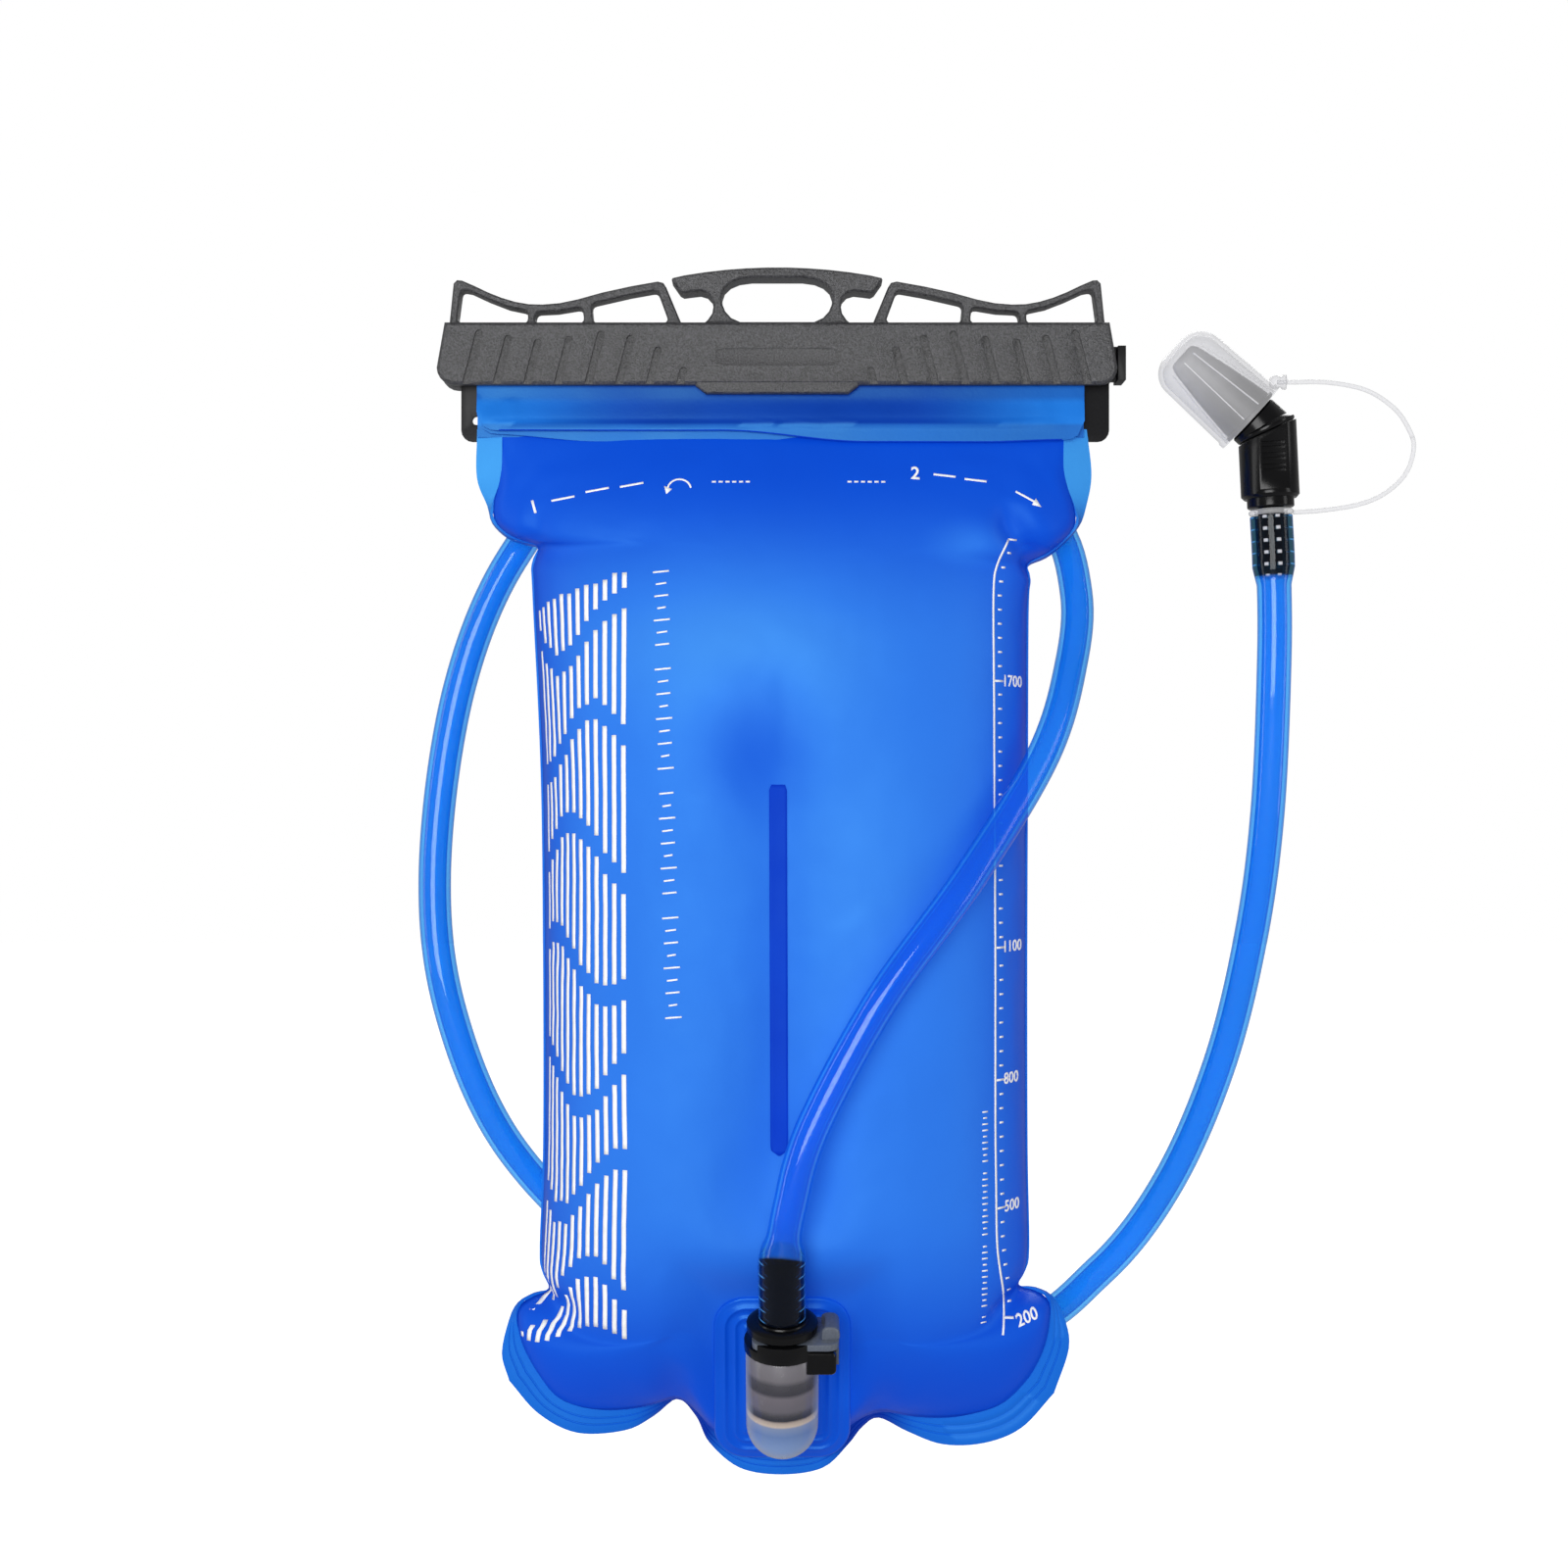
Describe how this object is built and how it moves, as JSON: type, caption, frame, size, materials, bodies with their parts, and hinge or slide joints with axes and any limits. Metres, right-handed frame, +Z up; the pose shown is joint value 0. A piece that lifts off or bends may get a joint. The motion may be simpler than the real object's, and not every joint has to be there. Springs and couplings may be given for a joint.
{
  "type": "hydration bladder",
  "caption": "Welded film water pouch with a slide closure and handle, a quick-release bottom port, a looped drink hose and an angled bite valve under a tethered dust cap.",
  "frame": {"origin": "middle of the flat underside of the handle arch, where the bladder hangs", "axes": "+Z up, -Y towards the front face that carries the port, +X to the right seen from the front"},
  "size_m": [0.2894, 0.083, 0.3526],
  "materials": {
    "film_blue": "satin",
    "pad_blue": "gloss",
    "bar_black": "satin",
    "slider_grey": "textured matte",
    "clear_frosted": "frosted",
    "black_plastic": "satin",
    "grey_plastic": "matte",
    "spring_steel": "polished",
    "seal_rubber": "matte",
    "hose_blue": "clear gloss",
    "silicone": "satin",
    "clear_cap": "clear gloss"
  },
  "bodies": {
    "reservoir": {"front_film": "film_blue", "back_film": "film_blue", "backing_bar": "bar_black", "port_pad": "pad_blue", "socket_body": "clear_frosted", "latch_housing": "black_plastic"},
    "slider": {"closure_slider": "slider_grey"},
    "latch": {"latch_button": "grey_plastic", "latch_spring": "spring_steel"},
    "poppet": {"poppet": "black_plastic", "poppet_seal": "seal_rubber", "poppet_spring": "spring_steel"},
    "hose_line": {"plug": "black_plastic", "plug_seal": "seal_rubber", "drink_hose": "hose_blue", "valve_body": "black_plastic", "lanyard": "clear_cap"},
    "elbow": {"elbow_head": "black_plastic", "swivel_seal": "seal_rubber", "bite_valve": "silicone"},
    "cap": {"dust_cap": "clear_cap"}
  },
  "joints": [
    {"name": "slider_slide", "type": "slide", "parent": "reservoir", "child": "slider", "axis": [-1, 0, 0], "range_m": [0, 0.2]},
    {"name": "button_press", "type": "slide", "parent": "reservoir", "child": "latch", "axis": [-1, 0, 0], "range_m": [0, 0.0018], "stiffness_N_per_m": 200, "springref_m": -0.002, "deforming": ["latch_spring"]},
    {"name": "plug_pull", "type": "slide", "parent": "reservoir", "child": "hose_line", "axis": [0, -0.2756, 0.9613], "range_m": [0, 0.027]},
    {"name": "poppet_lift", "type": "slide", "parent": "reservoir", "child": "poppet", "axis": [0, -0.2756, 0.9613], "range_m": [0, 0.0022], "deforming": ["poppet_spring"]},
    {"name": "elbow_swivel", "type": "hinge", "parent": "hose_line", "child": "elbow", "pos_m": [0.13949, -0.018, -0.04752], "axis": [-0.4274, 0, 0.9041], "range_deg": [-180, 180], "deforming": ["lanyard"]},
    {"name": "cap_pull", "type": "slide", "parent": "elbow", "child": "cap", "axis": [-0.742, 0, 0.6704], "range_m": [0, 0.03], "deforming": ["lanyard"]}
  ],
  "couplings": [
    {"joint": "poppet_lift", "follows": "plug_pull", "ratio": 0.08}
  ]
}
